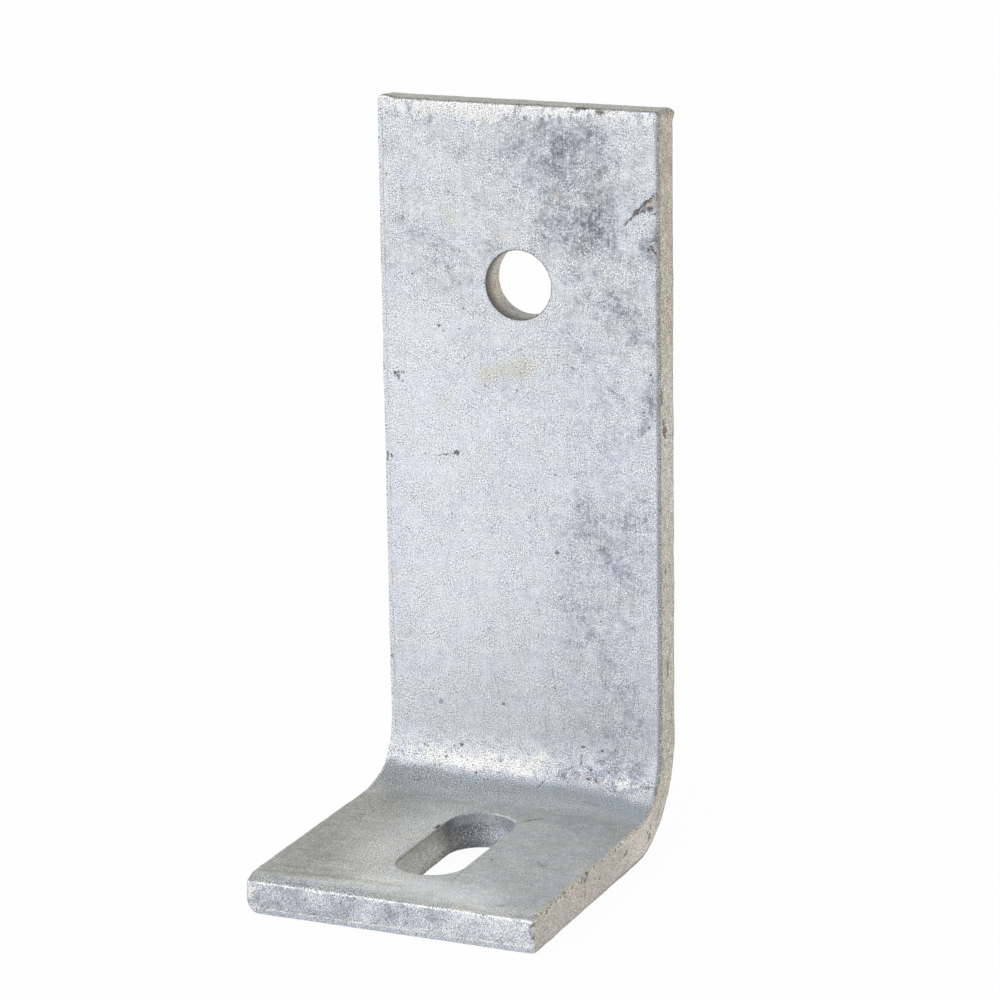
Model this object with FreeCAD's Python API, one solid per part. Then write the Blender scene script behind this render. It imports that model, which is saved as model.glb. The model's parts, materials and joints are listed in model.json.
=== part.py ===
import FreeCAD, Part
import math
import os

# Concrete angle bracket: one length of flat steel bar, sheared to length, punched for two fixings
# and folded once at a right angle, then hot-dip galvanised.
# X = 0 is the middle of the bar's width, Y = 0 the middle of the foot's length and Z = 0 the
# underside. The foot points along -Y and the leg stands up at the +Y end.

# Driving dimensions of the folded bar, in millimetres
bar_width = 80.0
bar_thickness = 10.0
leg_height = 198.0  # underside of the foot to the leg's top end
foot_length = 98.0  # back of the leg to the foot's front end
inner_bend_radius = 16.0
outer_bend_radius = 28.0  # the steel thins where it is stretched round the heel

# Softened edges of the bar
edge_radius = 0.8  # long rolled edges and the rims of both ends
end_corner_radius = 1.6  # corners at both ends, seen square on to the plate

# Sheared front end of the foot: the blade drew the top face down, and the steel tore off below
drawn_length = 4.5  # back along the foot
drawn_depth = 1.3  # down from the foot's top face
torn_height = 2.2  # up from the underside
torn_setback = 0.4  # of the underside's front edge, behind the end face

# Punched fixings
hole_diameter = 18.5
hole_from_top = 48.0  # centre of the hole below the leg's top end
slot_width = 18.5
slot_length = 49.0  # end to end, along the foot
slot_from_fold = 5.0  # flat left between the fold and the slot
punch_radius = 0.5  # rims that the punch drew in, on the two faces that it entered

# Places worked out from the driving dimensions
half_width = bar_width / 2
back_y = foot_length / 2
front_y = -foot_length / 2
leg_front_y = back_y - bar_thickness
inner_bend = (leg_front_y - inner_bend_radius, bar_thickness + inner_bend_radius)
outer_bend = (back_y - outer_bend_radius, outer_bend_radius)
hole_z = leg_height - hole_from_top
slot_y = inner_bend[0] - slot_from_fold - slot_length / 2

# Edges whose faces meet at less than this are already smooth
smooth_degrees = 20.0
same_place = 1e-6


def side_point(y, z):
    return FreeCAD.Vector(-half_width, y, z)


def line(start, end):
    return Part.LineSegment(side_point(*start), side_point(*end)).toShape()


def arc(centre, radius, first_degrees, last_degrees):
    """An arc of the side view, with 0 degrees along +Y and 90 degrees along +Z."""
    points = []
    for degrees in (first_degrees, (first_degrees + last_degrees) / 2, last_degrees):
        angle = math.radians(degrees)
        points.append(side_point(centre[0] + radius * math.cos(angle), centre[1] + radius * math.sin(angle)))
    return Part.Arc(*points).toShape()


def side_view():
    """Outline of the folded bar, from under the foot, round the heel and over the leg to the toe."""
    top_back = (back_y, leg_height)
    top_front = (leg_front_y, leg_height)
    drawn_start = (front_y + drawn_length, bar_thickness)
    toe_top = (front_y, bar_thickness - drawn_depth)
    toe_ridge = (front_y, torn_height)
    toe_bottom = (front_y + torn_setback, 0)
    drawn_radius = (drawn_length**2 + drawn_depth**2) / (2 * drawn_depth)
    drawn_centre = (drawn_start[0], bar_thickness - drawn_radius)
    drawn_degrees = math.degrees(math.asin(drawn_length / drawn_radius))
    return Part.Wire([
        line(toe_bottom, (outer_bend[0], 0)),
        arc(outer_bend, outer_bend_radius, 270, 360),
        line((back_y, outer_bend[1]), top_back),
        line(top_back, top_front),
        line(top_front, (leg_front_y, inner_bend[1])),
        arc(inner_bend, inner_bend_radius, 360, 270),
        line((inner_bend[0], bar_thickness), drawn_start),
        arc(drawn_centre, drawn_radius, 90, 90 + drawn_degrees),
        line(toe_top, toe_ridge),
        line(toe_ridge, toe_bottom),
    ])


def overall_block(corner_middles):
    """A block of the bracket's overall size, rounded along the edges with these middles."""
    block = Part.makeBox(bar_width, foot_length, leg_height, FreeCAD.Vector(-half_width, front_y, 0))
    edges = []
    for middle in corner_middles:
        edges += [edge for edge in block.Edges if edge.CenterOfMass.isEqual(middle, same_place)]
    return block.makeFillet(end_corner_radius, edges)


def sharp_edges(solid):
    """Edges where two faces meet at more than the smooth angle."""
    found = []
    for edge in solid.Edges:
        middle = edge.valueAt((edge.FirstParameter + edge.LastParameter) / 2)
        first, second = solid.ancestorsOfType(edge, Part.Face)
        normals = [face.normalAt(*face.Surface.parameter(middle)) for face in (first, second)]
        if math.degrees(normals[0].getAngle(normals[1])) > smooth_degrees:
            found.append(edge)
    return found


def folded_bar():
    """The bar before it is punched, with its end corners and all its edges softened."""
    bar = Part.Face(side_view()).extrude(FreeCAD.Vector(bar_width, 0, 0))
    toe_corners = [FreeCAD.Vector(x, front_y, leg_height / 2) for x in (-half_width, half_width)]
    top_corners = [FreeCAD.Vector(x, 0, leg_height) for x in (-half_width, half_width)]
    for corners in (toe_corners, top_corners):
        bar = bar.common(overall_block(corners))
    bar = bar.removeSplitter()
    return bar.makeFillet(edge_radius, sharp_edges(bar))


def hole_punch():
    """Round punch through the leg, from its front face to its back face."""
    start = FreeCAD.Vector(0, leg_front_y, hole_z)
    return Part.makeCylinder(hole_diameter / 2, bar_thickness, start, FreeCAD.Vector(0, 1, 0))


def slot_punch():
    """Round-ended punch through the foot, from its underside to its top face."""
    radius = slot_width / 2
    half_run = (slot_length - slot_width) / 2
    run = Part.makeBox(slot_width, 2 * half_run, bar_thickness, FreeCAD.Vector(-radius, slot_y - half_run, 0))
    ends = [
        Part.makeCylinder(radius, bar_thickness, FreeCAD.Vector(0, slot_y + side * half_run, 0))
        for side in (-1, 1)
    ]
    return run.fuse(ends).removeSplitter()


def entry_rim(solid, punch, entry_point, entry_direction):
    """Edges that a punch left in the flat face that it entered."""
    rim = []
    for edge in solid.Edges:
        middle = edge.valueAt((edge.FirstParameter + edge.LastParameter) / 2)
        off_face = (middle - entry_point).dot(entry_direction)
        if abs(off_face) < same_place and punch.isInside(middle, same_place, True):
            rim.append(edge)
    return rim


def angle_bracket():
    """The finished bracket: the folded bar with its fixings punched and their rims drawn in."""
    hole, slot = hole_punch(), slot_punch()
    bracket = folded_bar().cut(hole).cut(slot)
    rims = entry_rim(bracket, hole, FreeCAD.Vector(0, leg_front_y, hole_z), FreeCAD.Vector(0, -1, 0))
    rims += entry_rim(bracket, slot, FreeCAD.Vector(0, slot_y, bar_thickness), FreeCAD.Vector(0, 0, 1))
    return bracket.makeFillet(punch_radius, rims)


os.makedirs("parts", exist_ok=True)
angle_bracket().exportStep("parts/angle_bracket.step")
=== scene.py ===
"""Concrete angle bracket: the dressed bar with its zinc finish, on a pale floor under soft light."""
import json
import math

import bpy
import numpy as np
from mathutils import Matrix, Vector, noise
from mathutils.geometry import delaunay_2d_cdt


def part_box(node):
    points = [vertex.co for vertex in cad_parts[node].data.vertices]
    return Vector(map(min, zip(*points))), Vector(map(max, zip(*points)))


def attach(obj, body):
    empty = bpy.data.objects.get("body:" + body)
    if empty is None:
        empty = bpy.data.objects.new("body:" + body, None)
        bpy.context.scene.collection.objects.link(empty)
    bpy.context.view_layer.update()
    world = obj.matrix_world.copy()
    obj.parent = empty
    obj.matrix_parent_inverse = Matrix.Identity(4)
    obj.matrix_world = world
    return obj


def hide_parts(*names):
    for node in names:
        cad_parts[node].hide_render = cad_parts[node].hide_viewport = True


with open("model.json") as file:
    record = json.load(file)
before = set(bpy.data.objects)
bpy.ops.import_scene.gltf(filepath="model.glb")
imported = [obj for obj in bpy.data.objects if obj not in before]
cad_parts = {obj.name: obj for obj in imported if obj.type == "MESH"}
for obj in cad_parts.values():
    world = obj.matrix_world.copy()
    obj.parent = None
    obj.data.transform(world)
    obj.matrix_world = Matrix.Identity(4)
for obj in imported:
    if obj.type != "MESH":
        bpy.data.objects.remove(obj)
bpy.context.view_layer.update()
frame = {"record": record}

# Sizes of the bar in millimetres, read from the frame
MM = 0.001
low, high = (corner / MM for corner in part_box("angle_bracket"))
mounts = {mount["name"]: mount for mount in frame["record"]["mounts"]}
half_width = (high.x - low.x) / 2
leg_height = high.z - low.z
foot_length = high.y - low.y
thickness = mounts["foot_top"]["pos_m"][2] / MM
hole_z = mounts["leg_hole"]["pos_m"][2] / MM
hole_radius = mounts["leg_hole"]["dims"]["r_mm"]
slot_y = mounts["foot_slot"]["pos_m"][1] / MM
slot_radius = mounts["foot_slot"]["dims"]["hole_r_mm"]
slot_half_run = mounts["foot_slot"]["dims"]["slot_length_mm"] / 2 - slot_radius

# Sizes that the frame doesn't name, the same as the solid's
inner_radius = 16.0
outer_radius = 28.0
edge_radius = 0.8
end_corner_radius = 1.6
punch_radius = 0.5
drawn_length = 4.5
drawn_depth = 1.3
torn_height = 2.2
torn_setback = 0.4

# The bar unfolded: across it, along it from the leg's top end to the toe, and down from the inner face
flat_radius = outer_radius - thickness
mid_radius = outer_radius - thickness / 2
bend_offset = flat_radius - inner_radius
bend_y = high.y - outer_radius
bend_z = low.z + outer_radius
leg_run = leg_height - outer_radius
fold_run = mid_radius * math.pi / 2
foot_start = leg_run + fold_run
bar_length = foot_start + foot_length - outer_radius

# How finely the bar is meshed
face_step = 0.72
back_step = 2.0
rim_step = 0.7
rim_rows = 4
wall_rows = 18

# Punched walls: straight where the punch sheared the steel, then torn a little wider towards the outer face
sheared_share = 0.3
torn_flare = 0.45

# Unevenness of this bracket: small wear and swelling that every such bar has in its own way
top_roll_length = 4.0
top_roll_depth = 0.45
top_wear_reach = 8.0
top_back_roll = 0.35
back_roll_depth = 3.5
proud_corner = 0.6
proud_corner_width = 7.0
heel_thinning = 0.4
torn_reach = 3.0
foot_spread = 0.95
foot_spread_width = 14.0
foot_spread_start = 12.0
toe_spread = 0.7
toe_spread_reach = 8.0
toe_left_radius = 1.05
crease_degrees = 43.5
worn_corner_across = 3.3
worn_corner_depth = 4.9
worn_corner_reach = 10.0

# Waves in the zinc's surface and in the outlines of patches, as heights and sizes
face_waves = ((0.06, 24.0), (0.03, 5.0))
rim_waves = ((0.10, 9.0), (0.05, 2.0))
crumb_waves = ((0.10, 4.0), (0.09, 1.5))
edge_waves = ((0.25, 6.0),)  # as shares of the edge radius
patch_waves = ((2.4, 8.0), (1.0, 2.5))


def inner_reach(turn):
    """Distance of the inner face from the outer bend's centre, at a turn through the fold."""
    towards = bend_offset * (np.cos(turn) + np.sin(turn))
    on_arc = towards + np.sqrt(inner_radius**2 - 2 * bend_offset**2 + towards**2)
    on_flat = flat_radius / np.maximum(np.cos(turn), np.sin(turn))
    beside_arc = np.minimum(turn, math.pi / 2 - turn) < math.atan2(bend_offset, flat_radius)
    return np.where(beside_arc, on_flat, on_arc)


def folded(plate):
    """Places on the folded bar of points on the unfolded one."""
    across, along, depth = plate.T
    turn = np.clip((along - leg_run) / mid_radius, 0, math.pi / 2)
    reach = inner_reach(turn)
    radius = reach + depth / thickness * (outer_radius - reach)
    y = bend_y + radius * np.cos(turn) - np.clip(along - foot_start, 0, None)
    z = bend_z - radius * np.sin(turn) + np.clip(leg_run - along, 0, None)
    return np.column_stack([across, y, z])


def on_leg(x, z, depth=0.0):
    """Point of the unfolded bar at a width and height on the leg."""
    return np.array([x, leg_height - z, depth])


def on_fold(x, degrees, depth=0.0):
    """Point of the unfolded bar at a width and turn in the fold."""
    return np.array([x, leg_run + mid_radius * math.radians(degrees), depth])


def on_foot(x, y, depth=0.0):
    """Point of the unfolded bar at a width and distance on the foot."""
    return np.array([x, foot_start + bend_y - y, depth])


def on_toe(x, z):
    """Point of the unfolded bar on the sheared end of the foot."""
    return np.array([x, bar_length, thickness - z])


def ramp(value, start, end):
    """0 before start, 1 after end and smooth between them."""
    share = np.clip((value - start) / (end - start), 0, 1)
    return share * share * (3 - 2 * share)


def waves(points, size):
    """Smooth noise of that size over the points, from about -1 to 1."""
    octaves = 2
    return np.array([noise.fractal(Vector(point / size), 1.0, 2.0, octaves) for point in points])


def uneven(points, heights_and_sizes):
    """Sum of waves of those heights and sizes over the points."""
    return sum(height * waves(points, size) for height, size in heights_and_sizes)


# Marks of making, handling and weather, with some painted light and shade among them, as lines on the
# unfolded bar
def spot(place, radius, strength):
    """A mark with no length: its two ends, their radii and its strength."""
    return (place, place, radius, radius, strength)


def placed(surface, *rows):
    """Spots and lines on one surface: a place or two ends, a radius or one for each end, and a strength."""
    marks = []
    for row in rows:
        points = [surface(*value) for value in row if isinstance(value, tuple)]
        radii = row[len(points):-1]
        marks.append((points[0], points[-1], radii[0], radii[-1], row[-1]))
    return marks


def dots(seed, count, start, end, spread, radius, strength, room=(1, 1, 0)):
    """Small spots scattered about a line, with room across, along and down into the bar."""
    scatter = np.random.default_rng(seed)
    places = []
    for part in scatter.random(count):
        aside = scatter.normal(0, spread, 3) * np.array(room)
        places.append(start + (end - start) * part + aside)
    return [spot(place, radius * scatter.uniform(0.7, 1.3), strength) for place in places]


# Patches and smudges: dark below zero and pale above it. The broad patches on the leg and the pale patch at
# the top of the fold are partly painted light and shade
patches_and_painted_light = placed(
    on_leg,
    ((9.9, 190.2), 3.2, -0.6),
    ((11.5, 187), (15.4, 181.6), 3.6, 4.2, -0.7),
    ((20.5, 188.4), 4.0, -0.75),
    ((13.3, 170), (17.2, 171.2), 3.5, -0.65),
    ((21.4, 166.7), (19.4, 163.7), 4.0, 3.6, -0.8),
    ((8, 165), (15.2, 163.4), 3.6, -0.6),
    ((23.4, 172.6), 3.4, -0.5),
    ((24, 182), (28, 176), 4, -0.35),
    ((-1, 186), (5.3, 183.1), 3.0, -0.35),
    ((-16.4, 185), 4.0, -0.25),
    ((-34.4, 166.6), 2.6, -0.45),
    ((-27.3, 160.6), (-21, 157.3), 3.4, -0.5),
    ((-26, 152), (-18, 149), 4, -0.3),
    ((-7.3, 160.6), 3.0, -0.3),
    ((30, 148), (31.3, 141), 4.5, 5, -0.4),
    # Broad patches, darker at the right of the leg and paler at its left: partly painted shade and painted
    # light from the softbox at the left
    ((10, 188), (20, 166), 13, 12, -0.72),
    ((27, 140), (27, 45), 13, -0.25),
    ((19, 88), (37, 86), 6, -0.65),
    ((16, 80), (34, 78), 6, -0.45),
    ((18, 64), (28, 40), 10, -0.3),
    ((-30, 135), (-24, 50), 14, 0.85),
    ((-8, 112), (-4, 50), 12, 0.35),
    ((19, 30), (36, 28), 6, -0.4),
)
patches_and_painted_light += placed(
    on_fold,
    # Pale at the top of the fold: partly a painted highlight
    ((-20, 4), (0, 10), 6, 1.0),
    ((7, 8), (13, 28), 4, -0.45),
    ((15, 36), (28, 31), 4.5, 5.0, -0.95),
    ((28, 26), (38, 27), 5.5, -1.05),
    ((24, 40), (36, 38), 3.5, -0.9),
    ((17, 31), 1.8, -0.8),
    ((33, 46), (39, 49), 2.6, 0.5),
)
patches_and_painted_light += placed(
    on_foot,
    ((10, -44), 2.2, -0.4),
    ((26, -43), (35, -40), 2.0, -0.3),
    ((-38, 14), (-33, -33), 13, 11, -0.95),
    ((-13, 18), (-15, -22), 6.0, 5.5, 0.34),
    ((-8, -39), (24, -42), 8.0, 7.0, 0.8),
)

grey_smudges = placed(
    on_leg,
    ((38.6, 172.4), (34.2, 171), 1.3, 0.8, -0.8),
    ((39.2, 166), (36.8, 163.2), 2.2, -1.0),
    ((36.8, 163.2), (37.6, 160.6), 1.4, 1.3, -0.6),
    ((37.8, 127), (37, 119), 1.6, 2.6, -0.7),
    ((37, 119), (34, 112), 2.8, 0.9, -1.0),
)
grey_smudges += placed(
    on_foot,
    ((-37, -43), (-19, -40.2), 1.2, -0.85),
    ((-19, -40.2), (0, -40.8), 1.2, 1.0, -0.65),
    ((-36, -38.5), (-22, -36.5), 0.7, 0.6, -0.5),
    ((-34, -34.5), (-17, -33.5), 0.7, 0.35),
    ((-31, -45.4), (-14, -44.2), 0.6, 0.5),
)

# White flaking of the zinc, partly painted highlight: the band along the leg's top edge, the band in the
# fold above the crease and the toe's two corners
flakes_and_painted_highlights = placed(
    on_leg,
    ((-38, 193.5), (-8, 194), 4.0, 3.6, 0.3),
    ((-38, 196.3), (-10, 196), 2.2, 2.0, 0.75),
    ((-10, 196), (4, 196.5), 2.6, 2.2, 0.85),
    ((4, 196.6), (39, 196.4), 2.6, 1.9, 0.9),
)
flakes_and_painted_highlights += placed(
    on_fold,
    ((-22, 14), (0, 18), 5.0, 0.25),
    ((-28, 24), (4, 27), 5.0, 4.0, 0.3),
    ((-39, 32), (-26, 35), 2.6, 2.8, 0.42),
    ((-26, 36), (3, 38), 3.2, 3.0, 1.0),
    ((6, 26), (14, 27), 2.4, 2.0, 0.5),
    ((18, 37), (29, 39), 2.0, 2.4, 0.3),
    ((29, 38), (39, 40), 2.4, 0.38),
)
flakes_and_painted_highlights += placed(
    on_toe,
    ((-38.4, 7.6), 2.2, 1.4),
    ((37.5, 8.0), 1.7, 1.0),
)

brown_smears = placed(
    on_leg,
    ((39, 175.2), (36.6, 173.3), 1.4, 1.2, 0.9),
    ((34.6, 171.6), (32.2, 169.6), 0.7, 0.5, 0.6),
    ((39.2, 163), (37.2, 161), 1.2, 0.5),
)
brown_smears += placed(
    on_fold,
    ((17.5, 38), (24, 39), 1.3, 0.6),
    ((13, 33), (17, 35), 1.0, 0.4),
)

ochre_stains = placed(
    on_leg,
    ((-9, 125), (2, 128), 4, 0.9),
    ((-20, 167), 4, 0.7),
    ((-5, 164), 4.5, 0.6),
    ((-25, 148), 5, 0.5),
    ((-23, 117), 5, 0.65),
    ((11, 175), 1.6, 0.9),
)
ochre_stains += placed(
    on_toe,
    ((-28, 2.6), (-20, 2.8), 0.9, 1.2, 0.6),
    ((-12, 3.0), 1.5, 0.8),
    ((-10, 7.0), 1.3, 0.75),
)
ochre_stains += placed(on_foot, ((40, -48), (40, 8), 0.8, 0.9))

soil_marks = placed(
    on_leg,
    ((39.4, 177.1), (36, 174.2), 0.35, 0.38, 0.85),
    ((36, 174.2), (33.4, 171.4), 0.5, 0.95),
    ((33.4, 171.4), (30.2, 167.9), 0.45, 0.26, 0.95),
    ((38.5, 173.2), (35.2, 172), 0.5, 0.4, 0.35),
    ((38.6, 171.4), 0.45, 0.9),
    ((39.2, 166.1), (37.4, 164), 0.5, 0.4, 0.55),
    ((37.4, 163), (39, 160.6), 0.3, 0.65),
    ((38.9, 117), (35.6, 113.5), 0.36, 0.34, 0.4),
    ((35.6, 113.5), (33.2, 110.9), 0.32, 0.26, 0.3),
    ((36, 127.2), (39, 127.2), 0.35, 0.5),
    ((37.4, 128.8), 0.5, 1.1),
    ((-36.6, 123.7), (-33.8, 123.9), 0.45, 0.35, 0.45),
    ((-36.4, 123.5), (-35.1, 121.5), 0.6, 0.5),
    ((-33.8, 123.9), (-35.3, 122.7), 0.4, 0.5, 0.45),
    ((-34, 121.5), 0.5, 0.7),
    ((-39.2, 101.3), (-39.2, 99.4), 0.4, 0.85),
    ((-37.9, 101), (-37.9, 99.8), 0.4, 0.8),
    ((-18.4, 103), 0.7, 0.95),
    ((-19, 102.8), (-25, 101.5), 0.6, 0.4, 0.55),
    ((-33.3, 166), 1.2, 0.5),
    ((-23, 137.6), 0.6, 0.9),
    ((-16, 129.2), 0.4, 0.9),
    ((-30.7, 151), 0.4, 0.9),
    ((-16, 142.8), 0.6, 0.7),
    ((10.2, 77.9), 0.7, 0.95),
    ((11.4, 65.5), 0.9, 0.6),
    ((-17.2, 81.6), 0.5, 0.8),
    ((10.2, 99.4), 0.5, 0.7),
    ((16.7, 91.2), 0.5, 0.7),
    ((-9.7, 54.6), 0.4, 0.9),
    ((-24.7, 32.4), 0.9, 0.8),
    ((-6.2, 33.7), 0.7, 0.8),
    ((-33.2, 80.4), 1.5, 0.4),
    ((-32, 89.4), 2.0, 0.35),
    ((-39.1, 43.7), 0.6, 0.9),
    ((-39.2, 33), 0.5, 0.8),
    ((4.2, 64.5), (5, 59.8), 0.35, 0.3, 0.5),
    ((8.4, 45), (9.4, 39), 0.35, 0.3, 0.5),
    ((-8.7, 41.7), (-7.1, 35.3), 0.35, 0.3, 0.45),
)
soil_marks += placed(
    on_fold,
    ((-18.3, 22.7), 0.7, 0.95),
    ((-20.4, 24.3), 0.5, 0.8),
    ((17.2, 11.7), 0.9, 0.8),
    ((22.4, 13.2), 1.2, 0.5),
    ((27, 8), 1.6, 0.35),
    ((16.9, 19), (17, 27), 0.4, 0.6),
    ((7.6, 44), (6.4, 51), 0.5, 0.3, 0.6),
    ((-29, 59), (-26.5, 57), 0.5, 0.3, 0.6),
    ((36.5, 38.5), (39.5, 38), 0.3, 0.4, 0.6),
    ((20.8, 59.6), (26, 61.7), 0.8, 0.7, 0.42),
    ((19.6, 38.5), (20.6, 38.2), 0.35, 0.6),
    ((22.0, 39.0), (23.2, 39.6), 0.35, 0.6),
)
soil_marks += placed(
    on_foot,
    ((-31, 8.3), 0.6, 0.8),
    ((-18.7, 8), 0.5, 0.8),
    ((-10.1, 4.6), (-10.0, 2.2), 0.65, 0.55, 1.1),
    ((9.7, 14), (10.5, 16.3), 0.3, 0.55),
    ((10.5, 16.3), (13.6, 19.2), 0.3, 0.36, 0.8),
    ((9.7, -22.5), (10.5, -34), 0.3, 0.25, 0.52),
    ((14, -15.2), (18, -16.6), 1.2, 0.3),
    ((23.5, -12), (29, -14.5), 1.2, 0.3),
    ((29, -44), 1.2, 0.5),
)
soil_marks += placed(
    on_toe,
    ((4.9, 4.3), 1.6, 0.4),
    ((2.0, 5.6), 1.2, 0.4),
    ((-20.7, 2.6), 0.9, 0.5),
    ((-23.5, 7.0), 0.7, 0.7),
    ((11.6, 5.5), 0.9, 0.4),
    ((39.3, 7.2), (39.5, 4.0), 0.8, 0.6, 0.6),
    ((-40, 7.4), (-40, 4.6), 0.5, 0.7),
)
soil_marks += dots(9, 11, on_leg(38.5, 173.6), on_leg(34.5, 171.4), 0.7, 0.32, 0.7)
soil_marks += dots(10, 14, on_leg(38.5, 164.5), on_leg(37.5, 160.5), 0.9, 0.32, 0.5)
soil_marks += dots(11, 14, on_leg(36, 120), on_leg(35, 113), 1.0, 0.3, 0.55)
soil_marks += dots(1, 40, on_fold(-37.5, 31), on_fold(-22, 36), 2.6, 0.3, 0.6)
soil_marks += dots(2, 22, on_fold(-22, 36), on_fold(6, 37), 1.8, 0.32, 0.7)
soil_marks += dots(3, 26, on_fold(17, 31), on_fold(30, 34), 3.0, 0.3, 0.6)
soil_marks += dots(4, 16, on_fold(30, 32), on_fold(39, 34), 2.4, 0.3, 0.6)
soil_marks += dots(5, 9, on_foot(12.5, -14.5), on_foot(18.5, -17), 1.1, 0.26, 0.5)
soil_marks += dots(6, 9, on_foot(23, -12), on_foot(29.5, -14.6), 1.1, 0.26, 0.5)
soil_marks += dots(7, 40, on_leg(-28, 190), on_leg(26, 40), 13.0, 0.36, 0.75)
soil_marks += dots(8, 26, on_foot(-28, 10), on_foot(25, -34), 9.0, 0.32, 0.75)

rust_marks = placed(
    on_leg,
    ((38.8, 175.5), (35.5, 173.2), 1.5, 0.9, 0.5),
    ((38.8, 164.8), (37.5, 164.0), 0.9, 0.6, 0.5),
    ((17.2, 197.9), (19.6, 197.9), 0.7, 0.6, 1.1),
    ((22.8, 197.3), (24.2, 197.0), 0.7, 0.5, 0.9),
    ((40, 124.8, 0.9), (40, 120.6, 1.1), 0.45, 0.4, 1.0),
    ((40, 116.5, 1.8), (40, 113.5, 2.6), 0.5, 0.8),
    ((40, 113.5, 2.6), (40, 111, 3.4), 0.45, 0.4, 0.7),
    ((40, 49.5, 4.6), (40, 46, 4.6), 0.8, 0.7, 0.9),
    ((40, 75, 3.0), 0.9, 0.8),
    ((40, 186, 3.0), (40, 180, 3.4), 0.6, 0.5, 0.4),
    ((40, 97, 6.0), (40, 90, 5.6), 0.7, 0.5, 0.45),
    ((40, 150, 5.0), (40, 146, 5.4), 0.7, 0.6, 0.4),
)
rust_marks += placed(
    on_foot,
    ((40, 11.3, 4.4), (40, 13.5, 3.8), 0.55, 0.5, 1.0),
    ((40, -15.7, 3.6), (40, -16, 6.8), 0.32, 0.25, 0.65),
    ((40, -29.5, 0.4), 0.8, 0.7),
    ((39.8, -48.6, 4.8), 0.7, 0.7),
    ((39.8, -48.6, 1.2), 0.7, 0.8),
)
rust_marks += placed(on_fold, ((40, 72, 4.5), 0.7, 0.8))
rust_marks.append((on_fold(40, 72, 9.3), on_foot(40, -2, 9.3), 0.5, 0.5, 0.6))
down_the_side = (0, 1, 1)
rust_marks += dots(12, 18, on_foot(40, -13, 0.7), on_foot(40, -19, 1.4), 0.9, 0.4, 0.9, down_the_side)
rust_marks += dots(13, 10, on_fold(40, 62, 3.5), on_fold(40, 72, 6.5), 0.5, 0.45, 0.7, down_the_side)
rust_marks += dots(14, 12, on_leg(40, 117, 1.8), on_leg(40, 111, 3.2), 0.8, 0.42, 0.9, down_the_side)
rust_marks += dots(15, 26, on_foot(40, 16, 2.5), on_foot(40, -46, 3.5), 1.8, 0.4, 0.6, down_the_side)
rust_marks += dots(16, 44, on_foot(40, 14, 0.7), on_foot(40, -47, 0.7), 0.5, 0.36, 0.7, down_the_side)
rust_marks += dots(17, 18, on_foot(39.8, -48.8, 0.8), on_foot(39.8, -48.8, 8.6), 0.3, 0.4, 0.6)

# Lumps of zinc and chips out of the edges, by height
lumps = placed(
    on_leg,
    ((40, 196.5, 9.5), 1.3, 0.55),
    ((-37.5, 198, 1.0), 1.2, 0.2),
    ((-26, 198, 0.8), 0.9, 0.25),
    ((6, 198, 0.6), 0.9, 0.25),
    ((15, 198, 0.6), 0.9, 0.2),
    ((-35.2, 123.5), 1.1, -0.25),
    ((-38.8, 100.3), 1.1, -0.35),
    ((-18.4, 103), 0.9, -0.3),
    ((10.2, 77.9), 0.8, -0.3),
    ((39.5, 178), (29.5, 167.5), 0.9, 0.5, -0.25),
)
lumps += placed(
    on_foot,
    ((40, -22, 0.3), 1.5, 0.35),
    ((40, -31, 0.3), 1.3, 0.3),
    ((40, -40, 0.3), 1.3, 0.35),
    ((40, -4, 0.3), 1.4, 0.25),
    ((-9.4, 3.3), 1.0, -0.45),
)
lumps += placed(
    on_fold,
    ((-18.3, 22.7), 0.8, -0.3),
    ((8.5, 32), 1.6, -0.3),
)


def mark_field(points, marks):
    """Sum of the marks at each point: a mark's strength on its line, fading out past its radius."""
    total = np.zeros(len(points))
    for start, end, start_radius, end_radius, strength in marks:
        run = end - start
        share = np.clip((points - start) @ run / max(run @ run, 1e-9), 0, 1)
        away = np.linalg.norm(points - start - share[:, None] * run, axis=1)
        radius = start_radius + (end_radius - start_radius) * share
        total += strength * np.exp(-((away / radius) ** 2))
    return total


def soft_limit(values):
    """The values with the dark ones kept above -1, for patches that overlap."""
    return np.where(values < 0, np.expm1(values), values)


def strayed(points):
    """The points moved a little to and fro, to give large marks uneven outlines."""
    far_away = 200.0
    aside = uneven(points + far_away, patch_waves)
    onward = uneven(points - far_away, patch_waves)
    return points + np.column_stack([aside, onward, np.zeros(len(points))])


def small_mark_points(marks, widest):
    """Points along the small marks on the inner face, so that the mesh can show them."""
    points = []
    for start, end, start_radius, end_radius, strength in marks:
        if max(start_radius, end_radius) > widest or start[2] > 0 or end[2] > 0:
            continue
        count = 1 + int(np.linalg.norm(end - start) / face_step)
        points += [start + (end - start) * part / count for part in range(count + 1)]
    points = np.unique(np.round(np.array(points)[:, :2], 3), axis=0)
    margin = edge_radius + 0.3
    across_room = half_width - margin - np.abs(points[:, 0])
    along_room = bar_length / 2 - margin - np.abs(points[:, 1] - bar_length / 2)
    return points[(across_room > 0) & (along_room > 0) & clear_of_fixings(points, punch_radius + 0.2)]


def loop(arcs, step, around):
    """Points and outward normals of a closed loop of arcs and straight runs, with the steel on its left."""
    places, normals = [], []
    for centre_across, centre_along, radius, first, last in arcs:
        count = max(4, math.ceil(radius * abs(last - first) / step))
        for angle in np.linspace(first, last, count + 1):
            outward = np.array([math.cos(angle), math.sin(angle)])
            places.append(np.array([centre_across, centre_along]) + radius * outward)
            normals.append(outward * around)
    filled_places, filled_normals = [], []
    for index, place in enumerate(places):
        following = places[(index + 1) % len(places)]
        gap = np.linalg.norm(following - place)
        if gap < 1e-6:
            continue
        count = max(1, round(gap / step))
        for part in range(count):
            filled_places.append(place + (following - place) * part / count)
            filled_normals.append(normals[index])
    places, normals = np.array(filled_places), np.array(filled_normals)
    if around < 0:
        return places[::-1], normals[::-1]
    return places, normals


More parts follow.
